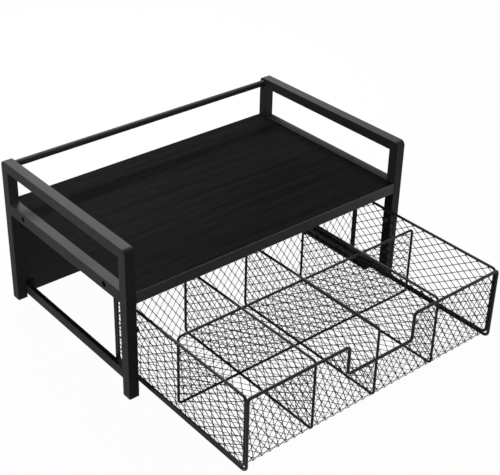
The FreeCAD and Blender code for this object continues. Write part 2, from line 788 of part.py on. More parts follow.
def fold_cut():
    """How far from the outer corner the flat sheets stop, where the folded strip joins them."""
    return size("foldLeg") + size("meshThickness") * math.tan(math.pi / 8)


def fold_strip(outer, inward):
    """Sloping strip between the floor and the front or rear wall, pierced across its middle."""
    side = worth(MESH_SIDE)
    low = size("meshFloor")
    leg = size("foldLeg")
    thick = size("meshThickness")
    cut = fold_cut()
    profile = [(0, cut), (0, leg), (leg, 0), (cut, 0), (cut, thick), (thick, cut)]
    corners = [Vec(-side, outer + inward * p, low + q) for p, q in profile]
    strip = Part.Face(Part.makePolygon(corners + corners[:1])).extrude(Vec(2 * side, 0, 0))

    half_u = size("meshShort") / 2
    half_w = size("meshLong") / 2
    side_distance = half_u * half_w / math.hypot(half_u, half_w)
    share = 1 - size("meshStrand") / (2 * side_distance)
    open_u = half_u * share
    open_w = (leg - thick) / math.sqrt(2) - size("meshBorder") / 2
    shoulder = open_u * (1 - open_w / (half_w * share))
    across = Vec(0, inward, -1) / math.sqrt(2)
    through = Vec(0, inward, 1) / math.sqrt(2)
    middle = Vec(0, outer + inward * leg / 2, low + leg / 2)
    count = int((side - size("meshBorder") - open_u) / size("meshShort"))
    cutters = []
    for i in range(-count, count + 1):
        ring = [(-open_u, 0), (-shoulder, open_w), (shoulder, open_w), (open_u, 0),
                (shoulder, -open_w), (-shoulder, -open_w)]
        points = [middle + Vec(i * size("meshShort") + u, 0, 0) + across * w - through * thick
                  for u, w in ring]
        face = Part.Face(Part.makePolygon(points + points[:1]))
        cutters.append(face.extrude(through * 4 * thick))
    return strip.cut(Part.makeCompound(cutters))


def basket_mesh():
    """The folded sheet that forms the drawer's floor, sides, front and rear."""
    long_pitch = size("meshLong")
    short_pitch = size("meshShort")
    thick = size("meshThickness")
    side = worth(MESH_SIDE)
    low = size("meshFloor")
    rim = size("rimHeight")
    front = worth(MESH_FRONT)
    back = worth(MESH_BACK)
    cut = fold_cut()
    wall_low = low + cut
    middle_y = (front + back) / 2
    middle_z = (low + rim) / 2
    notch = size("notchHalf")
    notch_low = size("notchFloor")

    front_outline = [(-side, wall_low), (side, wall_low), (side, rim), (notch, rim),
                     (notch, notch_low), (-notch, notch_low), (-notch, rim), (-side, rim)]
    front_boxes = [(-side, wall_low, -notch, rim), (notch, wall_low, side, rim),
                   (-side, wall_low, side, notch_low)]
    sheet_front = mesh_sheet(front_outline, front_boxes, (0, middle_z), short_pitch, long_pitch)
    mesh_node("front_mesh", [stand(sheet_front, "XZ", front)])

    wall = (-side, wall_low, side, rim)
    sheet_rear = mesh_sheet(box_points(*wall), [wall], (0, middle_z), short_pitch, long_pitch)
    mesh_node("rear_mesh", [stand(sheet_rear, "XZ", back - thick)])

    cheek = [(front + cut, low), (back - cut, low), (back - cut, low + thick),
             (back - thick, wall_low), (back - thick, rim), (front + thick, rim),
             (front + thick, wall_low), (front + cut, low + thick)]
    cheek_boxes = [(front + cut, low, back - cut, rim),
                   (front + thick, wall_low, back - thick, rim)]
    sheet_side = mesh_sheet(cheek, cheek_boxes, (middle_y, middle_z), long_pitch, short_pitch)
    mesh_node("side_mesh_left", [stand(sheet_side, "YZ", -side)])
    mesh_node("side_mesh_right", [stand(sheet_side, "YZ", side - thick)])

    floor = (thick - side, front + cut, side - thick, back - cut)
    sheet_floor = mesh_sheet(box_points(*floor), [floor], (0, middle_y), short_pitch,
                             long_pitch)
    mesh_node("floor_mesh", [stand(sheet_floor, "XY", low)])
    mesh_node("mesh_fold_front", [fold_strip(front, 1)])
    mesh_node("mesh_fold_rear", [fold_strip(back, -1)])


def bend_clip():
    """How much a sheet's corner is cut off to stay on a thin loop's bent corner."""
    return size("thinBend") * (2 - math.sqrt(2))


def clipped_box(low_u, low_v, high_u, high_v, left, right):
    """A box's outline with its left and its right corners cut off."""
    points = [(low_u + left, low_v), (high_u - right, low_v), (high_u, low_v + right),
              (high_u, high_v - right), (high_u - right, high_v), (low_u + left, high_v),
              (low_u, high_v - left), (low_u, low_v + left)]
    return [point for i, point in enumerate(points) if point != points[i - 1]]


def divider_meshes():
    """Mesh on the left face of each divider's loop, slotted where the cross wire passes."""
    front = worth(DIVIDER_FRONT)
    back = worth(DIVIDER_BACK)
    low = worth(DIVIDER_LOW)
    top = size("dividerTop")
    cross = size("crossPlace")
    slot_half = size("thinWire") / 2 + size("meshThickness") + 0.3
    slot_low = worth(CROSS_TOP) - size("thinWire") / 2 - 0.3
    corner = bend_clip()
    shape = [(front + corner, low), (back - corner, low), (back, low + corner),
             (back, top - corner), (back - corner, top), (cross + slot_half, top),
             (cross + slot_half, slot_low), (cross - slot_half, slot_low),
             (cross - slot_half, top), (front + corner, top), (front, top - corner),
             (front, low + corner)]
    areas = [(front + corner, low, back - corner, slot_low),
             (front, low + corner, back, slot_low),
             (front + corner, low, cross - slot_half, top),
             (cross + slot_half, low, back - corner, top)]
    sheet_divider = mesh_sheet(shape, areas, ((front + back) / 2, (low + top) / 2),
                               size("meshLong"), size("meshShort"))
    for name, place in DIVIDERS.items():
        face = place * size("dividerPitch") - size("thinWire") / 2 - size("meshThickness")
        mesh_node(f"divider_mesh_{name}", [stand(sheet_divider, "YZ", face)])


def cross_divider_mesh():
    """Mesh behind the cross loop, in one length between each pair of dividers."""
    low = worth(CROSS_LOW)
    top = worth(CROSS_TOP)
    gap = 0.2
    wire = size("thinWire") / 2
    behind = wire + size("meshThickness")
    walls = [place * size("dividerPitch") for place in DIVIDERS.values()]
    starts = [worth(CROSS_LEFT)] + [x + wire + gap for x in walls]
    ends = [x - behind - gap for x in walls] + [worth(CROSS_RIGHT)]
    solids = []
    for start, end in zip(starts, ends):
        left = bend_clip() if start == starts[0] else 0
        right = bend_clip() if end == ends[-1] else 0
        shape = clipped_box(start, low, end, top, left, right)
        areas = [(start + left, low, end - right, top),
                 (start, low + bend_clip(), end, top - bend_clip())]
        centre = ((start + end) / 2, (low + top) / 2)
        length = mesh_sheet(shape, areas, centre, size("meshLong"), size("meshShort"))
        solids.append(stand(length, "XZ", size("crossPlace") + wire))
    mesh_node("cross_divider_mesh", solids)


# ---- build, check, write ----

for name, side in SIDES.items():
    side_frame(name, side)
    shelf_rail(name, side)
    runner(name, side)
    glide_strip(name, side)
    keeper(name, side)
    side_wire(name, side)
shelf_board()
back_panel()
rear_top_rod()
shelf_screws()
panel_screws()
panel_tabs()
foot_plugs()
side_bumpers()
hoops()
for name, place in DIVIDERS.items():
    divider_wire(name, place)
cross_divider_wire()
basket_mesh()
divider_meshes()
cross_divider_mesh()
doc.recompute()

for item in doc.Objects:
    if any(word in item.State for word in ("Invalid", "Error")):
        raise RuntimeError(f"{item.Name} failed: {item.State}")
for piece in nodes:
    shape = piece.Shape
    if shape.isNull() or not shape.isValid() or not shape.Solids:
        raise RuntimeError(f"{piece.Label} has no valid solid")

os.makedirs("parts", exist_ok=True)
for piece in nodes:
    piece.Shape.exportStep(f"parts/{piece.Label}.step")
    box = piece.Shape.BoundBox
    print(f"{piece.Label}: {len(piece.Shape.Solids)} solids, {piece.Shape.Volume:.0f} mm3,"
          f" z {box.ZMin:.2f} to {box.ZMax:.2f}")
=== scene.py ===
import json
import math

import bmesh
import bpy
from mathutils import Matrix, Vector


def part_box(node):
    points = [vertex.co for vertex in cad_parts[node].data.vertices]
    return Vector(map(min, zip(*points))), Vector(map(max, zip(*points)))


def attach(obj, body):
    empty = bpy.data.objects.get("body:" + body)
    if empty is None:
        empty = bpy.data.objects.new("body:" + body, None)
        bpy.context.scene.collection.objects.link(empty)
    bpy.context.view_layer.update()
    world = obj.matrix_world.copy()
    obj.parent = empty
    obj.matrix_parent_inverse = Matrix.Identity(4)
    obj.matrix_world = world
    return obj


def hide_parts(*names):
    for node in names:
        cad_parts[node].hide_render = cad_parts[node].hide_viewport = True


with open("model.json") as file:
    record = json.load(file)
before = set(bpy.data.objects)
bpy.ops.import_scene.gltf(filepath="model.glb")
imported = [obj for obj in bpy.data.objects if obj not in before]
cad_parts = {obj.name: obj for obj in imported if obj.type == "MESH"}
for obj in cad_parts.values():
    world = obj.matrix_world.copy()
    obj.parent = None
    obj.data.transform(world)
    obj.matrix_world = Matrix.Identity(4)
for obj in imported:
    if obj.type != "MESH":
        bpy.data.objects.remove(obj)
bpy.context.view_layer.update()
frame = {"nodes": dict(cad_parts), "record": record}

MM = 0.001

# Drawer wires, in metres. Their places come from the frame's nodes.
HOOP_WIRE = 3.6 * MM
SIDE_WIRE = 3.2 * MM
THIN_WIRE = 3.0 * MM
LOW_BEND = 6.0 * MM
RIM_BEND = 3.6 * MM
THIN_BEND = 4.5 * MM
NOTCH_HALF = 47.0 * MM
NOTCH_FLOOR = 66.0 * MM
NOTCH_BEND = 4.5 * MM
WIRE_SIDES = 16
BEND_STEPS = 10

# Expanded sheet: pitches of its diamonds, and the strands between them.
LONG_PITCH = 16.15 * MM
BASKET_PITCH = 10.77 * MM
CHEEK_PITCH = 10.67 * MM
CROSS_PITCH = 10.75 * MM
STRAND_WIDTH = 0.88 * MM
STRAND_THICKNESS = 0.6 * MM
STRAND_TILT = math.radians(24)
KNUCKLE_LENGTH = 2.6 * MM
KNUCKLE_WIDTH = 1.4 * MM
KNUCKLE_SWELL = 1.08
SHORTEST_STRAND = 0.05
SHEET_INSET = 0.5 * MM

# The basket's front and rear fold, and where one knuckle of each sheet lies.
FOLD_RADIUS = 13.5 * MM
FRONT_KNUCKLE = (1.86 * MM, 53.36 * MM)
CHEEK_KNUCKLES = {"left": (-231.7 * MM, 57.07 * MM),
                  "right": (-233.1 * MM, 57.17 * MM)}
DIVIDER_KNUCKLE = (-231.3 * MM, 57.0 * MM)
CROSS_KNUCKLE = (9.42 * MM, 54.65 * MM)

# Weld beads, and the cross recesses of the screws' heads.
WELD_BEAD = 2.6 * MM
BEAD_SPREAD = 0.2
BEAD_SEED = 7
PANEL_SCREW_HEAD = 6.4 * MM
RECESS_SLOT = 0.9 * MM
RECESS_LENGTH = 3.2 * MM
RECESS_DEPTH = 1.1 * MM

# The stage: the floor's tone under bounced light and as seen, and the world's two strengths.
FLOOR_SIZE = 4.0
FLOOR_UNSEEN = (0.1, 0.1, 0.1)
FLOOR_SEEN = (0.95, 0.95, 0.95)
FLOOR_GLOW = 0.975
WORLD_LIGHT = 0.045
WORLD_SEEN = 1.0


# ---- mesh helpers ----

def in_scene(name, data):
    """A new object that carries the data."""
    item = bpy.data.objects.new(name, data)
    bpy.context.scene.collection.objects.link(item)
    return item


def place_mesh(name, mesh, material, body, slot, *replaced):
    """A finished piece: object at the origin, riding on its body and standing for its nodes."""
    piece = in_scene(name, mesh)
    mesh.materials.clear()
    mesh.materials.append(material)
    for polygon in mesh.polygons:
        polygon.material_index = 0
    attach(piece, body)
    if replaced:
        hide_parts(*replaced)


def baked(source):
    """Plain mesh of an object with its modifiers applied; the object itself is removed."""
    depsgraph = bpy.context.evaluated_depsgraph_get()
    depsgraph.update()
    mesh = bpy.data.meshes.new_from_object(source.evaluated_get(depsgraph))
    bpy.data.objects.remove(source)
    return mesh


def smooth(mesh, angle=40):
    """Shade smooth, with edges over the angle left sharp."""
    form = bmesh.new()
    form.from_mesh(mesh)
    for face in form.faces:
        face.smooth = True
    for edge in form.edges:
        edge.smooth = not edge.is_manifold or edge.calc_face_angle() < math.radians(angle)
    form.to_mesh(mesh)
    form.free()
    return mesh


def joined(meshes):
    """One mesh from several."""
    form = bmesh.new()
    for mesh in meshes:
        form.from_mesh(mesh)
    whole = bpy.data.meshes.new("joined")
    form.to_mesh(whole)
    form.free()
    for mesh in meshes:
        bpy.data.meshes.remove(mesh)
    return whole


# ---- shader node groups ----

def link(tree, source, target):
    """Join an output socket to an input socket."""
    tree.links.new(source, target)


def add(tree, kind, inputs=(), **settings):
    """A node of a tree with its settings, and its inputs set or linked by place or name."""
    node = tree.nodes.new(kind)
    for name, value in settings.items():
        setattr(node, name, value)
    pairs = inputs.items() if isinstance(inputs, dict) else enumerate(inputs)
    for key, value in pairs:
        if isinstance(value, bpy.types.NodeSocket):
            link(tree, value, node.inputs[key])
        else:
            node.inputs[key].default_value = value
    return node


def new_group(name, kind, inputs, outputs):
    """A node group with named sockets: (name, type, default) in, (name, type) out."""
    group = bpy.data.node_groups.new(name, kind)
    for socket_name, socket_type, default in inputs:
        socket = group.interface.new_socket(socket_name, in_out="INPUT",
                                            socket_type=f"NodeSocket{socket_type}")
        if default is not None:
            socket.default_value = default
    for socket_name, socket_type in outputs:
        group.interface.new_socket(socket_name, in_out="OUTPUT",
                                   socket_type=f"NodeSocket{socket_type}")
    return group, group.nodes.new("NodeGroupInput"), group.nodes.new("NodeGroupOutput")


def input_sockets(group):
    """The identifier of each of a group's inputs, by name."""
    return {item.name: item.identifier for item in group.interface.items_tree
            if item.in_out == "INPUT"}


def math_node(tree, operation, *values):
    """A number worked out from others."""
    return add(tree, "ShaderNodeMath", values, operation=operation).outputs[0]


def vector_node(tree, operation, *values):
    """A vector worked out from others."""
    return add(tree, "ShaderNodeVectorMath", values, operation=operation).outputs[0]


def noise(tree, coordinates, scale, detail=2.0, roughness=0.5):
    """Noise from 0 to 1."""
    node = add(tree, "ShaderNodeTexNoise",
               {"Vector": coordinates, "Scale": scale, "Detail": detail,
                "Roughness": roughness})
    return node.outputs["Fac"]


def spread(tree, value, low, high, to_low, to_high):
    """Map a value from one range to another, clamped."""
    return add(tree, "ShaderNodeMapRange", [value, low, high, to_low, to_high]).outputs[0]


def orange_peel_group():
    """Surface of baked powder: low dimples, fine grit, and slow patches of sheen."""
    group, enter, leave = new_group(
        "Orange peel", "ShaderNodeTree",
        [("Dimples", "Float", 700.0), ("Grit", "Float", 3200.0)],
        [("Height", "Float"), ("Grain", "Float"), ("Patches", "Float")])
    place = add(group, "ShaderNodeTexCoord").outputs["Object"]
    dimples = noise(group, place, enter.outputs["Dimples"], 2.0, 0.45)
    grit = noise(group, place, enter.outputs["Grit"], 3.0, 0.6)
    height = math_node(group, "MULTIPLY_ADD", grit, 0.35, dimples)
    link(group, height, leave.inputs["Height"])
    link(group, spread(group, grit, 0.35, 0.65, 0.0, 1.0), leave.inputs["Grain"])
    patches = noise(group, place, 14.0, 3.0, 0.55)
    link(group, spread(group, patches, 0.35, 0.65, 0.0, 1.0), leave.inputs["Patches"])
    return group


def wood_grain_group():
    """Printed and embossed wood grain that runs along X: long pores and broad slow figure."""
    group, enter, leave = new_group(
        "Wood grain", "ShaderNodeTree",
        [("Stretch", "Float", 22.0), ("Pores", "Float", 900.0)],
        [("Pore", "Float"), ("Figure", "Float"), ("Height", "Float")])
    place = add(group, "ShaderNodeTexCoord").outputs["Object"]
    parts = add(group, "ShaderNodeSeparateXYZ", [place])
    along = math_node(group, "DIVIDE", parts.outputs["X"], enter.outputs["Stretch"])
    wander = noise(group, vector_node(group, "MULTIPLY", place, (3.0, 9.0, 9.0)), 1.0, 2.0)
    drift = math_node(group, "MULTIPLY", wander, 0.012)
    across = math_node(group, "ADD", parts.outputs["Y"], drift)
    grain_place = add(group, "ShaderNodeCombineXYZ",
                      [along, across, parts.outputs["Z"]]).outputs[0]
    fine = noise(group, grain_place, enter.outputs["Pores"], 4.0, 0.62)
    broad = noise(group, grain_place, 120.0, 3.0, 0.5)
    pore = spread(group, fine, 0.52, 0.68, 0.0, 1.0)
    figure = spread(group, broad, 0.36, 0.64, 0.0, 1.0)
    link(group, pore, leave.inputs["Pore"])
    link(group, figure, leave.inputs["Figure"])
    depth = math_node(group, "MULTIPLY", pore, -1.0)
    link(group, math_node(group, "MULTIPLY_ADD", figure, 0.25, depth), leave.inputs["Height"])
    return group


PEEL = orange_peel_group()
GRAIN = wood_grain_group()


# ---- materials ----

def new_material(name):
    """A material with its Principled shader joined to its output."""
    material = bpy.data.materials.new(name)
    material.use_nodes = True
    tree = material.node_tree
    tree.nodes.clear()
    shader = tree.nodes.new("ShaderNodeBsdfPrincipled")
    output = tree.nodes.new("ShaderNodeOutputMaterial")
    link(tree, shader.outputs[0], output.inputs["Surface"])
    return material, tree, shader


def blended(tree, factor, first, second):
    """A colour between two, by a factor."""
    node = tree.nodes.new("ShaderNodeMix")
    node.data_type = "RGBA"
    link(tree, factor, node.inputs["Factor"])
    node.inputs[6].default_value = (*first, 1)
    node.inputs[7].default_value = (*second, 1)
    return node.outputs[2]


def powder_coat(name, dark, light, sheen, dimples, bump, level):
    """Baked black powder on steel. sheen is the roughness's range, level the specular level."""
    material, tree, shader = new_material(name)
    peel = add(tree, "ShaderNodeGroup", node_tree=PEEL)
    peel.inputs["Dimples"].default_value = dimples
    tone = math_node(tree, "MULTIPLY_ADD", peel.outputs["Grain"], 0.5,
                     math_node(tree, "MULTIPLY", peel.outputs["Patches"], 0.5))
    link(tree, blended(tree, tone, dark, light), shader.inputs["Base Color"])
    gloss = spread(tree, peel.outputs["Patches"], 0.0, 1.0, *sheen)
    link(tree, gloss, shader.inputs["Roughness"])
    shader.inputs["Specular IOR Level"].default_value = level
    relief = add(tree, "ShaderNodeBump",
                 {"Strength": 0.5, "Distance": bump, "Height": peel.outputs["Height"]})
    link(tree, relief.outputs[0], shader.inputs["Normal"])
    return material


def edge_shine(tree, level, edge_level, ridge_level):
    """A specular level for a board's faces, its edges and the ridge between them."""
    facing = add(tree, "ShaderNodeSeparateXYZ",
                 [tree.nodes.new("ShaderNodeNewGeometry").outputs["True Normal"]])
    upright = math_node(tree, "SUBTRACT", 1.0,
                        math_node(tree, "ABSOLUTE", facing.outputs[2]))
    tilted = spread(tree, upright, 0.02, 0.12, 0.0, 1.0)
    on_edge = spread(tree, upright, 0.85, 0.98, 0.0, 1.0)
    shine = math_node(tree, "MULTIPLY_ADD", tilted, ridge_level - level, level)
    return math_node(tree, "MULTIPLY_ADD", on_edge, edge_level - ridge_level, shine)


def laminate(name, dark, light, pore_colour, level, edges=None):
    """Black melamine board with a shallow embossed wood grain. level is its specular level;
    edges, if given, holds those of its edge bands and of the rounded ridge beside them."""
    material, tree, shader = new_material(name)
    grain = add(tree, "ShaderNodeGroup", node_tree=GRAIN)
    figure = blended(tree, grain.outputs["Figure"], dark, light)
    pores = tree.nodes.new("ShaderNodeMix")
    pores.data_type = "RGBA"
    link(tree, math_node(tree, "MULTIPLY", grain.outputs["Pore"], 0.6), pores.inputs["Factor"])
    link(tree, figure, pores.inputs[6])
    pores.inputs[7].default_value = (*pore_colour, 1)
    link(tree, pores.outputs[2], shader.inputs["Base Color"])
    gloss = spread(tree, grain.outputs["Pore"], 0.0, 1.0, 0.5, 0.68)
    link(tree, gloss, shader.inputs["Roughness"])
    shader.inputs["Specular IOR Level"].default_value = level
    if edges:
        link(tree, edge_shine(tree, level, *edges), shader.inputs["Specular IOR Level"])
    relief = add(tree, "ShaderNodeBump",
                 {"Strength": 0.35, "Distance": 0.15 * MM, "Height": grain.outputs["Height"]})
    link(tree, relief.outputs[0], shader.inputs["Normal"])
    return material


def moulded_plastic(name, dark, light):
    """Black nylon with a fine moulded texture."""
    material, tree, shader = new_material(name)
    peel = add(tree, "ShaderNodeGroup", node_tree=PEEL)
    peel.inputs["Dimples"].default_value = 1500.0
    link(tree, blended(tree, peel.outputs["Patches"], dark, light),
         shader.inputs["Base Color"])
    link(tree, spread(tree, peel.outputs["Grain"], 0.0, 1.0, 0.38, 0.55),
         shader.inputs["Roughness"])
    shader.inputs["Specular IOR Level"].default_value = 0.3
    relief = add(tree, "ShaderNodeBump",
                 {"Strength": 0.3, "Distance": 0.05 * MM, "Height": peel.outputs["Height"]})
    link(tree, relief.outputs[0], shader.inputs["Normal"])
    return material


def blackened_steel(name):
    """Black oxide on a screw, rubbed brighter in patches."""
    material, tree, shader = new_material(name)
    peel = add(tree, "ShaderNodeGroup", node_tree=PEEL)
    peel.inputs["Dimples"].default_value = 2400.0
    link(tree, blended(tree, peel.outputs["Grain"], (0.02, 0.02, 0.022), (0.06, 0.06, 0.065)),
         shader.inputs["Base Color"])
    link(tree, spread(tree, peel.outputs["Patches"], 0.0, 1.0, 0.75, 0.95),
         shader.inputs["Metallic"])
    link(tree, spread(tree, peel.outputs["Grain"], 0.0, 1.0, 0.3, 0.5),
         shader.inputs["Roughness"])
    return material


FRAME_PAINT = powder_coat(
    "frame paint", dark=(0.078, 0.078, 0.079), light=(0.096, 0.096, 0.098),
    sheen=(0.5, 0.6), dimples=700.0, bump=0.12 * MM, level=0.05)
WIRE_PAINT = powder_coat(
    "wire paint", dark=(0.02, 0.02, 0.021), light=(0.032, 0.032, 0.034),
    sheen=(0.38, 0.48), dimples=1100.0, bump=0.06 * MM, level=0.2)
MESH_PAINT = powder_coat(
    "mesh paint", dark=(0.03, 0.03, 0.031), light=(0.046, 0.046, 0.048),
    sheen=(0.5, 0.6), dimples=1600.0, bump=0.04 * MM, level=0.05)
BOARD = laminate(
    "black laminate", dark=(0.0064, 0.0064, 0.0065), light=(0.0118, 0.0118, 0.012),
    pore_colour=(0.0028, 0.0028, 0.0029), level=0.006, edges=(0.3, 0.6))
PANEL = laminate(
    "black panel laminate", dark=(0.005, 0.005, 0.0052), light=(0.0075, 0.0075, 0.0077),
    pore_colour=(0.0035, 0.0035, 0.0037), level=0.12)
PLASTIC = moulded_plastic("black nylon", (0.008, 0.008, 0.008), (0.014, 0.014, 0.014))
STEEL = blackened_steel("black oxide steel")

SLOT_MATERIALS = {
    "black_frame_paint": FRAME_PAINT,
    "black_wire": WIRE_PAINT,
    "black_mesh": MESH_PAINT,
    "black_laminate": BOARD,
    "black_plastic": PLASTIC,
    "screw_steel": STEEL,
}

# The panel is laminate like the shelf, but one dull black all round.
NODE_MATERIALS = {"back_panel": PANEL}


def dress_nodes():
    """Give every carried-over node its own material, or else the material of its slot."""
    for part in frame["record"]["subparts"]:
        node = frame["nodes"][part["node"]]
        node.data.materials.clear()
        material = NODE_MATERIALS.get(part["node"], SLOT_MATERIALS[part["material_slot"]])
        node.data.materials.append(material)


# ---- drawer wires ----

def bent_line(corners, bend, closed):
    """Points along a wire with an arc at each corner; bend holds a radius for each."""
    count = len(corners)
    points = []
    for i, corner in enumerate(corners):
        if not closed and i in (0, count - 1):
            points.append(corner)
            continue
        before = (corners[i - 1] - corner).normalized()
        after = (corners[(i + 1) % count] - corner).normalized()
        half = before.angle(after) / 2
        centre = corner + (before + after).normalized() * (bend[i] / math.sin(half))
        start = corner + before * (bend[i] / math.tan(half)) - centre
        end = corner + after * (bend[i] / math.tan(half)) - centre
        sweep = start.angle(end)
        axis = start.cross(end).normalized()
        for step in range(BEND_STEPS + 1):
            turn = Matrix.Rotation(sweep * step / BEND_STEPS, 3, axis)
            points.append(centre + turn @ start)
    return points


def wire_mesh(points, gauge, closed):
    """Round wire along the points."""
    curve = bpy.data.curves.new("wire", "CURVE")
    curve.dimensions = "3D"
    curve.bevel_depth = gauge / 2
    curve.bevel_resolution = WIRE_SIDES // 4
    curve.use_fill_caps = True
    spline = curve.splines.new("POLY")
    spline.points.add(len(points) - 1)
    for target, point in zip(spline.points, points):
        target.co = (*point, 1)
    spline.use_cyclic_u = closed
    mesh = baked(in_scene("wire", curve))
    bpy.data.curves.remove(curve)
    return smooth(mesh)


def loop_in_node(node, gauge, axis):
    """Corners of a closed loop that fills a node's box, in the plane across the axis."""
    low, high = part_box(node)
    low = Vector(low) + Vector((gauge, gauge, gauge)) / 2
    high = Vector(high) - Vector((gauge, gauge, gauge)) / 2
    middle = (low[axis] + high[axis]) / 2
    u, v = [i for i in range(3) if i != axis]
    corners = []
    for a, b in ((low[u], low[v]), (high[u], low[v]), (high[u], high[v]), (low[u], high[v])):
        corner = Vector((middle, middle, middle))
        corner[u] = a
        corner[v] = b
        corners.append(corner)
    return corners


def drawer_loops():
    """Closed loops: the drawer's sides and its dividers."""
    side = (SIDE_WIRE, 0, LOW_BEND, RIM_BEND)
    divider = (THIN_WIRE, 0, THIN_BEND, THIN_BEND)
    loops = {
        "drawer_side_wire_left": side, "drawer_side_wire_right": side,
        "divider_wire_left": divider, "divider_wire_middle": divider,
        "divider_wire_right": divider,
        "cross_divider_wire": (THIN_WIRE, 1, THIN_BEND, THIN_BEND),
    }
    for node, (gauge, axis, low_bend, high_bend) in loops.items():
        bends = [low_bend, low_bend, high_bend, high_bend]
        line = bent_line(loop_in_node(node, gauge, axis), bends, True)
        place_mesh(f"{node}_bent", wire_mesh(line, gauge, True), WIRE_PAINT, "drawer",
                   "black_wire", node)


def drawer_hoop():
    """The outer hoop in two halves, with the finger notch in its front rim."""
    side = Vector(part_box("drawer_side_wire_right")[0])
    side_high = Vector(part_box("drawer_side_wire_right")[1])
    nest = (HOOP_WIRE + SIDE_WIRE) / 2
    x = side.x + SIDE_WIRE / 2
    front = side.y + SIDE_WIRE / 2 - nest
    back = side_high.y - SIDE_WIRE / 2 + nest
    leg = side.z + SIDE_WIRE / 2 - nest
    rim = side_high.z - SIDE_WIRE / 2
    middle = (front + back) / 2
    front_corners = [Vector(v) for v in (
        (-x, middle, leg), (-x, front, leg), (-x, front, rim), (-NOTCH_HALF, front, rim),
        (-NOTCH_HALF, front, NOTCH_FLOOR), (NOTCH_HALF, front, NOTCH_FLOOR),
        (NOTCH_HALF, front, rim), (x, front, rim), (x, front, leg), (x, middle, leg))]
    front_bends = [0, LOW_BEND, RIM_BEND] + [NOTCH_BEND] * 4 + [RIM_BEND, LOW_BEND, 0]
    rear_corners = [Vector(v) for v in (
        (-x, middle, leg), (-x, back, leg), (-x, back, rim), (x, back, rim),
        (x, back, leg), (x, middle, leg))]
    rear_bends = [0, LOW_BEND, RIM_BEND, RIM_BEND, LOW_BEND, 0]
    for node, corners, bends in (("front_hoop", front_corners, front_bends),
                                 ("rear_hoop", rear_corners, rear_bends)):
        line = bent_line(corners, bends, False)
        place_mesh(f"{node}_bent", wire_mesh(line, HOOP_WIRE, False), WIRE_PAINT, "drawer",
                   "black_wire", node)


# ---- expanded sheet ----

def past_corner(tree, given, place):
    """1 where a place lies outside the sheet's rounded corners, else 0."""
    middle = vector_node(tree, "MULTIPLY",
                           vector_node(tree, "ADD", given["Low corner"],
                                         given["High corner"]), (0.5, 0.5, 0.5))
    half = vector_node(tree, "SUBTRACT", given["High corner"], middle)
    offset = vector_node(tree, "SUBTRACT", place, middle)
    high_side = math_node(tree, "GREATER_THAN",
                          add(tree, "ShaderNodeSeparateXYZ", [offset]).outputs[1], 0.0)
    growth = math_node(tree, "SUBTRACT", given["High corner radius"],
                       given["Low corner radius"])
    radius = math_node(tree, "MULTIPLY_ADD", growth, high_side, given["Low corner radius"])
    flat = vector_node(tree, "MULTIPLY", vector_node(tree, "ABSOLUTE", offset),
                         (1.0, 1.0, 0.0))
    core = vector_node(tree, "SUBTRACT",
                         vector_node(tree, "MULTIPLY", half, (1.0, 1.0, 0.0)),
                         add(tree, "ShaderNodeCombineXYZ", [radius, radius, 0.0]).outputs[0])
    beyond = vector_node(tree, "MAXIMUM", vector_node(tree, "SUBTRACT", flat, core),
                           (0.0, 0.0, 0.0))
    parts = add(tree, "ShaderNodeSeparateXYZ", [beyond])
    in_corner = math_node(tree, "GREATER_THAN",
                          math_node(tree, "MULTIPLY", parts.outputs[0], parts.outputs[1]), 0.0)
    reach = add(tree, "ShaderNodeVectorMath", [beyond], operation="LENGTH").outputs["Value"]
    far = math_node(tree, "GREATER_THAN", reach, radius)
    return math_node(tree, "MULTIPLY", in_corner, far)


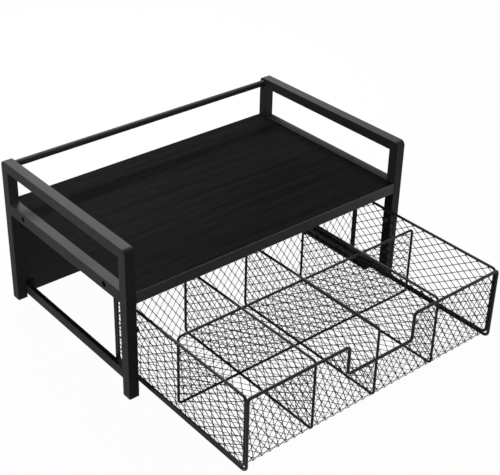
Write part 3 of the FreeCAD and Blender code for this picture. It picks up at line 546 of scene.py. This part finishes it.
def expanded_sheet_tree():
    """Flat expanded sheet in XY: long diagonals of the diamonds along X, cut to a rectangle."""
    tree, enter, leave = new_group(
        "Expanded sheet", "GeometryNodeTree",
        [("Low corner", "Vector", None), ("High corner", "Vector", None),
         ("Knuckle place", "Vector", None), ("Long pitch", "Float", LONG_PITCH),
         ("Short pitch", "Float", CHEEK_PITCH), ("Rows", "Int", 81),
         ("Low corner radius", "Float", 0.0), ("High corner radius", "Float", 0.0),
         ("Strand width", "Float", STRAND_WIDTH),
         ("Strand thickness", "Float", STRAND_THICKNESS), ("Tilt", "Float", STRAND_TILT),
         ("Knuckle length", "Float", KNUCKLE_LENGTH),
         ("Knuckle width", "Float", KNUCKLE_WIDTH), ("Paint", "Material", None)],
        [("Geometry", "Geometry")])
    given = enter.outputs

    # a square grid of whole numbers, sheared into the lattice of knuckles
    steps = math_node(tree, "SUBTRACT", given["Rows"], 1.0)
    grid = add(tree, "GeometryNodeMeshGrid", [steps, steps, given["Rows"], given["Rows"]])
    count = add(tree, "ShaderNodeSeparateXYZ",
                [add(tree, "GeometryNodeInputPosition").outputs[0]])
    along = math_node(tree, "MULTIPLY", math_node(tree, "MULTIPLY", given["Long pitch"], 0.5),
                      math_node(tree, "ADD", count.outputs[0], count.outputs[1]))
    across = math_node(tree, "MULTIPLY", math_node(tree, "MULTIPLY", given["Short pitch"], 0.5),
                       math_node(tree, "SUBTRACT", count.outputs[0], count.outputs[1]))
    knuckle = add(tree, "ShaderNodeCombineXYZ", [along, across, 0.0]).outputs[0]
    lattice = add(tree, "GeometryNodeSetPosition",
                  {"Geometry": grid.outputs["Mesh"],
                   "Position": vector_node(tree, "ADD", knuckle, given["Knuckle place"])})

    # one point for each strand, with the strand's two ends cut back to the rectangle
    ends = add(tree, "GeometryNodeInputMeshEdgeVertices")
    capture = tree.nodes.new("GeometryNodeCaptureAttribute")
    capture.domain = "EDGE"
    capture.capture_items.new("VECTOR", "First")
    capture.capture_items.new("VECTOR", "Second")
    link(tree, lattice.outputs[0], capture.inputs["Geometry"])
    link(tree, ends.outputs["Position 1"], capture.inputs["First"])
    link(tree, ends.outputs["Position 2"], capture.inputs["Second"])
    first = capture.outputs["First"]
    run = vector_node(tree, "SUBTRACT", capture.outputs["Second"], first)
    to_low = vector_node(tree, "DIVIDE",
                           vector_node(tree, "SUBTRACT", given["Low corner"], first), run)
    to_high = vector_node(tree, "DIVIDE",
                            vector_node(tree, "SUBTRACT", given["High corner"], first), run)
    enters = add(tree, "ShaderNodeSeparateXYZ",
                 [vector_node(tree, "MINIMUM", to_low, to_high)])
    leaves = add(tree, "ShaderNodeSeparateXYZ",
                 [vector_node(tree, "MAXIMUM", to_low, to_high)])
    start = math_node(tree, "MAXIMUM",
                      math_node(tree, "MAXIMUM", enters.outputs[0], enters.outputs[1]), 0.0)
    end = math_node(tree, "MINIMUM",
                    math_node(tree, "MINIMUM", leaves.outputs[0], leaves.outputs[1]), 1.0)
    share = math_node(tree, "SUBTRACT", end, start)
    strands = add(tree, "GeometryNodeMeshToPoints", [capture.outputs["Geometry"]],
                  mode="EDGES")
    cut_off = math_node(tree, "MAXIMUM", past_corner(tree, given, first),
                        past_corner(tree, given, capture.outputs["Second"]))
    kept = add(tree, "GeometryNodeDeleteGeometry",
               {"Geometry": strands.outputs[0],
                "Selection": math_node(tree, "MAXIMUM", cut_off,
                                       math_node(tree, "LESS_THAN", share, SHORTEST_STRAND))},
               domain="POINT")
    middle = math_node(tree, "MULTIPLY", math_node(tree, "ADD", start, end), 0.5)
    reach = add(tree, "ShaderNodeVectorMath", {0: run, "Scale": middle}, operation="SCALE")
    centred = add(tree, "GeometryNodeSetPosition",
                  {"Geometry": kept.outputs[0],
                   "Position": vector_node(tree, "ADD", first, reach.outputs[0])})
    bar = add(tree, "GeometryNodeMeshCylinder",
              {"Vertices": 6, "Radius": 0.5, "Depth": 1.0})
    lying = add(tree, "GeometryNodeTransform",
                {"Geometry": bar.outputs["Mesh"], "Rotation": (0.0, math.pi / 2, 0.0)})
    turn_parts = add(tree, "ShaderNodeSeparateXYZ", [run])
    slope = math_node(tree, "ARCTANGENT",
                      math_node(tree, "DIVIDE", turn_parts.outputs[1], turn_parts.outputs[0]))
    turn = add(tree, "ShaderNodeCombineXYZ", [given["Tilt"], 0.0, slope]).outputs[0]
    length = math_node(tree, "MULTIPLY", share,
                       add(tree, "ShaderNodeVectorMath", [run],
                           operation="LENGTH").outputs["Value"])
    size = add(tree, "ShaderNodeCombineXYZ",
               [length, given["Strand width"], given["Strand thickness"]]).outputs[0]
    placed = add(tree, "GeometryNodeInstanceOnPoints",
                 {"Points": centred.outputs[0], "Instance": lying.outputs[0],
                  "Rotation": turn, "Scale": size})

    # a wider knuckle where the strands meet
    joints = add(tree, "GeometryNodeMeshToPoints", [lattice.outputs[0]], mode="VERTICES")
    here = add(tree, "GeometryNodeInputPosition").outputs[0]
    below = add(tree, "ShaderNodeSeparateXYZ",
                [vector_node(tree, "SUBTRACT", here, given["Low corner"])])
    above = add(tree, "ShaderNodeSeparateXYZ",
                [vector_node(tree, "SUBTRACT", given["High corner"], here)])
    inside_x = math_node(tree, "MINIMUM", below.outputs[0], above.outputs[0])
    inside_y = math_node(tree, "MINIMUM", below.outputs[1], above.outputs[1])
    outside = math_node(tree, "MAXIMUM", past_corner(tree, given, here),
                        math_node(tree, "LESS_THAN",
                                  math_node(tree, "MINIMUM", inside_x, inside_y), 0.0))
    inner = add(tree, "GeometryNodeDeleteGeometry",
                {"Geometry": joints.outputs[0], "Selection": outside}, domain="POINT")
    thicker = math_node(tree, "MULTIPLY", given["Strand thickness"], KNUCKLE_SWELL)
    knuckle_size = add(tree, "ShaderNodeCombineXYZ",
                       [given["Knuckle length"], given["Knuckle width"], thicker]).outputs[0]
    lean = add(tree, "ShaderNodeCombineXYZ", [given["Tilt"], 0.0, 0.0]).outputs[0]
    bonds = add(tree, "GeometryNodeInstanceOnPoints",
                {"Points": inner.outputs[0], "Instance": lying.outputs[0],
                 "Rotation": lean, "Scale": knuckle_size})

    whole = add(tree, "GeometryNodeJoinGeometry")
    link(tree, placed.outputs[0], whole.inputs[0])
    link(tree, bonds.outputs[0], whole.inputs[0])
    real = add(tree, "GeometryNodeRealizeInstances", [whole.outputs[0]])
    painted = add(tree, "GeometryNodeSetMaterial",
                  {"Geometry": real.outputs[0], "Material": given["Paint"]})
    link(tree, painted.outputs[0], leave.inputs[0])
    return tree


SHEET_TREE = expanded_sheet_tree()


def sheet_piece(low, high, knuckle, to_place, options):
    """Mesh of one rectangle of expanded sheet. low, high and knuckle are (along the long
    diagonals, across them) in the sheet's own plane; to_place carries that plane home."""
    holder = in_scene("sheet", bpy.data.meshes.new("sheet"))
    modifier = holder.modifiers.new("Expanded sheet", "NODES")
    modifier.node_group = SHEET_TREE
    sockets = input_sockets(SHEET_TREE)
    reach = max(abs(high[0] - knuckle[0]), abs(low[0] - knuckle[0])) / LONG_PITCH
    reach += max(abs(high[1] - knuckle[1]), abs(low[1] - knuckle[1])) / CHEEK_PITCH
    values = {"Low corner": (*low, -1.0), "High corner": (*high, 1.0),
              "Knuckle place": (*knuckle, 0.0), "Rows": 2 * int(reach + 2) + 1,
              "Paint": MESH_PAINT, **options}
    for name, value in values.items():
        modifier[sockets[name]] = value
    mesh = baked(holder)
    mesh.transform(to_place)
    return mesh


def plane(long_axis, short_axis, origin):
    """Matrix that carries (along, across, out) of a sheet to the drawer's axes."""
    out = Vector(long_axis).cross(Vector(short_axis))
    turn = Matrix((long_axis, short_axis, out)).transposed().to_4x4()
    return Matrix.Translation(origin) @ turn


def mesh_panel(nodes, rectangles, knuckle, to_place, **options):
    """One panel of mesh that stands for its nodes; options are inputs of the sheet's tree."""
    inputs = {name.replace("_", " ").capitalize(): value for name, value in options.items()}
    pieces = [sheet_piece(low, high, knuckle, to_place, inputs) for low, high in rectangles]
    mesh = smooth(joined(pieces), 50)
    place_mesh(f"{nodes[0]}_expanded", mesh, MESH_PAINT, "drawer", "black_mesh", *nodes)
    return mesh


def fold_up(mesh, front_y, rear_y, fold_z):
    """Bend the ends of the flat floor sheet up, round the front and the rear fold."""
    for edge, sign in ((front_y + FOLD_RADIUS, -1), (rear_y - FOLD_RADIUS, 1)):
        for vertex in mesh.vertices:
            past = sign * (vertex.co.y - edge)
            if past > 0:
                turn = past / FOLD_RADIUS
                reach = FOLD_RADIUS - (vertex.co.z - fold_z)
                vertex.co.y = edge + sign * reach * math.sin(turn)
                vertex.co.z = fold_z + FOLD_RADIUS - reach * math.cos(turn)


def basket_panels():
    """Floor, front, rear and sides of the folded basket, on one unrolled lattice."""
    floor_low, floor_high = (Vector(v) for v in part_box("floor_mesh"))
    front_low, front_high = (Vector(v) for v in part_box("front_mesh"))
    rear_low, rear_high = (Vector(v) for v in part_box("rear_mesh"))
    side_low, side_high = (Vector(v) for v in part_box("side_mesh_right"))
    fold_z = (floor_low.z + floor_high.z) / 2
    front_y = (front_low.y + front_high.y) / 2
    rear_y = (rear_low.y + rear_high.y) / 2
    side_x = (side_low.x + side_high.x) / 2
    top = side_high.z - SHEET_INSET
    wall = fold_z + FOLD_RADIUS
    x_axis, y_axis, z_axis = Vector((1, 0, 0)), Vector((0, 1, 0)), Vector((0, 0, 1))

    # the sheet's length round a fold is shorter than round a sharp corner
    saving = FOLD_RADIUS * (2 - math.pi / 2)
    bend = FOLD_RADIUS * math.pi / 2
    knuckle_x, knuckle_z = FRONT_KNUCKLE
    floor_knuckle_y = front_y + saving - (knuckle_z - fold_z)
    rear_knuckle_z = fold_z + floor_knuckle_y - rear_y + saving
    folded = mesh_panel(["floor_mesh", "mesh_fold_front", "mesh_fold_rear"],
                        [((front_y + FOLD_RADIUS - bend, -side_x),
                          (rear_y - FOLD_RADIUS + bend, side_x))],
                        (floor_knuckle_y, -knuckle_x), plane(y_axis, -x_axis, (0, 0, fold_z)),
                        short_pitch=BASKET_PITCH)
    fold_up(folded, front_y, rear_y, fold_z)

    front_parts = [((wall, -side_x), (top, -NOTCH_HALF)), ((wall, NOTCH_HALF), (top, side_x)),
                   ((wall, -NOTCH_HALF), (NOTCH_FLOOR, NOTCH_HALF))]
    mesh_panel(["front_mesh"], front_parts, (knuckle_z, knuckle_x),
               plane(z_axis, x_axis, (0, front_y, 0)), short_pitch=BASKET_PITCH)
    mesh_panel(["rear_mesh"], [((wall, -side_x), (top, side_x))], (rear_knuckle_z, knuckle_x),
               plane(z_axis, x_axis, (0, rear_y, 0)), short_pitch=BASKET_PITCH)
    for name, side in (("left", -1), ("right", 1)):
        mesh_panel([f"side_mesh_{name}"], [((front_y, fold_z), (rear_y, top))],
                   CHEEK_KNUCKLES[name], plane(y_axis, z_axis, (side * side_x, 0, 0)),
                   low_corner_radius=FOLD_RADIUS, high_corner_radius=RIM_BEND)


def divider_panels():
    """Mesh of the dividers, inside their own loops."""
    x_axis, y_axis, z_axis = Vector((1, 0, 0)), Vector((0, 1, 0)), Vector((0, 0, 1))
    rounding = {"low_corner_radius": THIN_BEND, "high_corner_radius": THIN_BEND}
    for name in ("left", "middle", "right"):
        low, high = (Vector(v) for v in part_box(f"divider_mesh_{name}"))
        mesh_panel([f"divider_mesh_{name}"],
                   [((low.y + SHEET_INSET, low.z + SHEET_INSET),
                     (high.y - SHEET_INSET, high.z - SHEET_INSET))],
                   DIVIDER_KNUCKLE, plane(y_axis, z_axis, ((low.x + high.x) / 2, 0, 0)),
                   **rounding)
    low, high = (Vector(v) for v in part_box("cross_divider_mesh"))
    mesh_panel(["cross_divider_mesh"],
               [((low.x + SHEET_INSET, low.z + SHEET_INSET),
                 (high.x - SHEET_INSET, high.z - SHEET_INSET))],
               CROSS_KNUCKLE, plane(x_axis, z_axis, (0, (low.y + high.y) / 2, 0)),
               short_pitch=CROSS_PITCH, **rounding)


# ---- screws ----

def cross_prisms(places, outward):
    """Closed plus-shaped prisms that cut a cross recess into each screw's head."""
    across = Vector((0, 0, 1))
    side = outward.cross(across)
    half, arm = RECESS_SLOT / 2, RECESS_LENGTH / 2
    outline = [(arm, half), (half, half), (half, arm), (-half, arm), (-half, half),
               (-arm, half), (-arm, -half), (-half, -half), (-half, -arm), (half, -arm),
               (half, -half), (arm, -half)]
    form = bmesh.new()
    for place in places:
        base = [form.verts.new(place - outward * RECESS_DEPTH + side * u + across * v)
                for u, v in outline]
        cap = [form.verts.new(vertex.co + outward * 2 * RECESS_DEPTH) for vertex in base]
        count = len(outline)
        form.faces.new(base[::-1])
        form.faces.new(cap)
        for i in range(count):
            j = (i + 1) % count
            form.faces.new((base[i], base[j], cap[j], cap[i]))
    bmesh.ops.recalc_face_normals(form, faces=form.faces)
    mesh = bpy.data.meshes.new("recesses")
    form.to_mesh(mesh)
    form.free()
    return mesh


def recessed_screws(node, cuts):
    """The node's screws with a cross recess in each head; cuts holds (places, outward)."""
    source = frame["nodes"][node]
    mesh = source.data.copy()
    mesh.transform(source.matrix_world)
    holder = in_scene("screws", mesh)
    cutters = []
    for places, outward in cuts:
        cutter = in_scene("recesses", cross_prisms(places, outward))
        cutters.append(cutter)
        modifier = holder.modifiers.new("Recess", "BOOLEAN")
        modifier.operation = "DIFFERENCE"
        modifier.solver = "EXACT"
        modifier.object = cutter
    finished = baked(holder)
    for cutter in cutters:
        bpy.data.objects.remove(cutter)
    place_mesh(f"{node}_recessed", smooth(finished, 30), STEEL, "frame", "screw_steel", node)


def screws():
    """Cross recesses in the panel's and the shelf's screws."""
    low, high = (Vector(v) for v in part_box("panel_screws"))
    inset = PANEL_SCREW_HEAD / 2
    panel = [Vector((x, high.y, z)) for x in (low.x + inset, high.x - inset)
             for z in (low.z + inset, high.z - inset)]
    recessed_screws("panel_screws", [(panel, Vector((0, 1, 0)))])
    low, high = (Vector(v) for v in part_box("shelf_screws"))
    inset = (high.z - low.z) / 2
    ends = (low.y + inset, high.y - inset)
    middle = (low.z + high.z) / 2
    recessed_screws("shelf_screws", [
        ([Vector((x, y, middle)) for y in ends], Vector((sign, 0, 0)))
        for x, sign in ((low.x, -1), (high.x, 1))])


# ---- weld beads ----

def bead_tree():
    """A small round bead at each point, each of its own size."""
    tree, enter, leave = new_group(
        "Weld beads", "GeometryNodeTree",
        [("Places", "Geometry", None), ("Bead size", "Float", WELD_BEAD),
         ("Spread", "Float", BEAD_SPREAD), ("Paint", "Material", None)],
        [("Geometry", "Geometry")])
    given = enter.outputs
    points = add(tree, "GeometryNodeMeshToPoints", [given["Places"]], mode="VERTICES")
    ball = add(tree, "GeometryNodeMeshUVSphere", {"Segments": 10, "Rings": 6, "Radius": 0.5})
    chance = add(tree, "FunctionNodeRandomValue", data_type="FLOAT")
    link(tree, math_node(tree, "SUBTRACT", 1.0, given["Spread"]), chance.inputs[2])
    link(tree, math_node(tree, "ADD", 1.0, given["Spread"]), chance.inputs[3])
    chance.inputs["Seed"].default_value = BEAD_SEED
    width = math_node(tree, "MULTIPLY", given["Bead size"], chance.outputs[1])
    scale = add(tree, "ShaderNodeCombineXYZ", [width, width, width]).outputs[0]
    beads = add(tree, "GeometryNodeInstanceOnPoints",
                {"Points": points.outputs[0], "Instance": ball.outputs["Mesh"],
                 "Scale": scale})
    real = add(tree, "GeometryNodeRealizeInstances", [beads.outputs[0]])
    painted = add(tree, "GeometryNodeSetMaterial",
                  {"Geometry": real.outputs[0], "Material": given["Paint"]})
    link(tree, painted.outputs[0], leave.inputs[0])
    return tree


def weld_beads():
    """Spot welds where the dividers' wires cross."""
    cross_low, cross_high = (Vector(v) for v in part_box("cross_divider_wire"))
    cross_y = (cross_low.y + cross_high.y) / 2
    places = []
    for name in ("left", "middle", "right"):
        low, high = (Vector(v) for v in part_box(f"divider_wire_{name}"))
        middle_x = (low.x + high.x) / 2
        places.append((middle_x, cross_y, high.z - THIN_WIRE))
        places.append((middle_x, cross_y, low.z + THIN_WIRE / 2))
    mesh = bpy.data.meshes.new("weld beads")
    mesh.from_pydata(places, [], [])
    holder = in_scene("weld beads", mesh)
    modifier = holder.modifiers.new("Weld beads", "NODES")
    modifier.node_group = bead_tree()
    modifier[input_sockets(modifier.node_group)["Paint"]] = WIRE_PAINT
    place_mesh("drawer_weld_beads", smooth(baked(holder)), WIRE_PAINT, "drawer", "black_wire")


# ---- stage ----

def seen_directly(tree):
    """1 for a ray that comes from the camera, or off metal or through glass, else 0."""
    ray = add(tree, "ShaderNodeLightPath")
    return math_node(tree, "MAXIMUM", ray.outputs["Is Camera Ray"],
                     math_node(tree, "MAXIMUM", ray.outputs["Is Glossy Ray"],
                               ray.outputs["Is Transmission Ray"]))


def pale_floor():
    """A floor that looks white and keeps shadows, but throws little light back."""
    form = bmesh.new()
    bmesh.ops.create_grid(form, x_segments=1, y_segments=1, size=FLOOR_SIZE)
    mesh = bpy.data.meshes.new("studio_floor")
    form.to_mesh(mesh)
    form.free()
    floor = in_scene("studio_floor", mesh)
    material, tree, shader = new_material("pale floor")
    shader.inputs["Roughness"].default_value = 0.9
    shader.inputs["Specular IOR Level"].default_value = 0.1
    seen = seen_directly(tree)
    link(tree, blended(tree, seen, FLOOR_UNSEEN, FLOOR_SEEN), shader.inputs["Base Color"])
    white = add(tree, "ShaderNodeEmission", {"Color": (1, 1, 1, 1), "Strength": 1.0})
    mixed = add(tree, "ShaderNodeMixShader")
    link(tree, math_node(tree, "MULTIPLY", seen, FLOOR_GLOW), mixed.inputs[0])
    link(tree, shader.outputs[0], mixed.inputs[1])
    link(tree, white.outputs[0], mixed.inputs[2])
    output = next(n for n in tree.nodes if n.type == "OUTPUT_MATERIAL")
    link(tree, mixed.outputs[0], output.inputs["Surface"])
    mesh.materials.append(material)


def backdrop():
    """A weak all-round light that is itself seen as white."""
    world = bpy.data.worlds.new("studio")
    bpy.context.scene.world = world
    world.use_nodes = True
    tree = world.node_tree
    tree.nodes.clear()
    strength = spread(tree, seen_directly(tree), 0.0, 1.0, WORLD_LIGHT, WORLD_SEEN)
    sky = add(tree, "ShaderNodeBackground", {"Color": (1, 1, 1, 1), "Strength": strength})
    output = add(tree, "ShaderNodeOutputWorld")
    link(tree, sky.outputs[0], output.inputs["Surface"])


def soft_lamp(name, place, target, size, power):
    """A round lamp of a size in metres and a power in watts, aimed at its target."""
    light = bpy.data.lights.new(name, "AREA")
    light.shape = "DISK"
    light.size = size
    light.energy = power
    lamp = in_scene(name, light)
    lamp.location = place
    aim = Vector(target) - Vector(place)
    lamp.rotation_euler = aim.to_track_quat("-Z", "Y").to_euler()


def lamps():
    """A key lamp above and behind, and two weak ones that lift the left and the front."""
    soft_lamp("key lamp", place=(0.27, 0.78, 0.98), target=(0.0, -0.05, 0.08),
              size=0.38, power=14.0)
    soft_lamp("left lamp", place=(-0.52, 0.02, 0.34), target=(-0.15, 0.0, 0.1),
              size=0.3, power=0.36)
    soft_lamp("front lamp", place=(0.75, -0.55, 0.25), target=(0.15, -0.1, 0.1),
              size=0.3, power=0.78)


def camera():
    """View from the left front, above; the picture is 500 by 475."""
    picture_width, picture_height = 500.0, 475.0
    azimuth, elevation, roll = math.radians(-38.087), math.radians(29.748), math.radians(0.204)
    target = Vector((40.418 * MM, 55.598 * MM, 80.0 * MM))
    distance = 1419.5 * MM
    focal_pixels = 1130.3
    centre_x, centre_y = 204.06, 200.94
    back = Vector((math.sin(azimuth) * math.cos(elevation),
                   -math.cos(azimuth) * math.cos(elevation), math.sin(elevation)))
    level = Vector((math.cos(azimuth), math.sin(azimuth), 0))
    rise = back.cross(level)
    right = level * math.cos(roll) + rise * math.sin(roll)
    up = rise * math.cos(roll) - level * math.sin(roll)
    data = bpy.data.cameras.new("camera")
    data.sensor_width = 36.0
    data.lens = focal_pixels / picture_width * data.sensor_width
    data.shift_x = (picture_width / 2 - centre_x) / picture_width
    data.shift_y = (centre_y - picture_height / 2) / picture_width
    data.clip_start = 0.05
    viewer = in_scene("camera", data)
    turn = Matrix((right, up, back)).transposed().to_4x4()
    viewer.matrix_world = Matrix.Translation(target + back * distance) @ turn
    bpy.context.scene.camera = viewer


dress_nodes()
screws()
drawer_loops()
drawer_hoop()
basket_panels()
divider_panels()
weld_beads()
pale_floor()
backdrop()
lamps()
camera()
bpy.context.scene.view_settings.view_transform = "Standard"
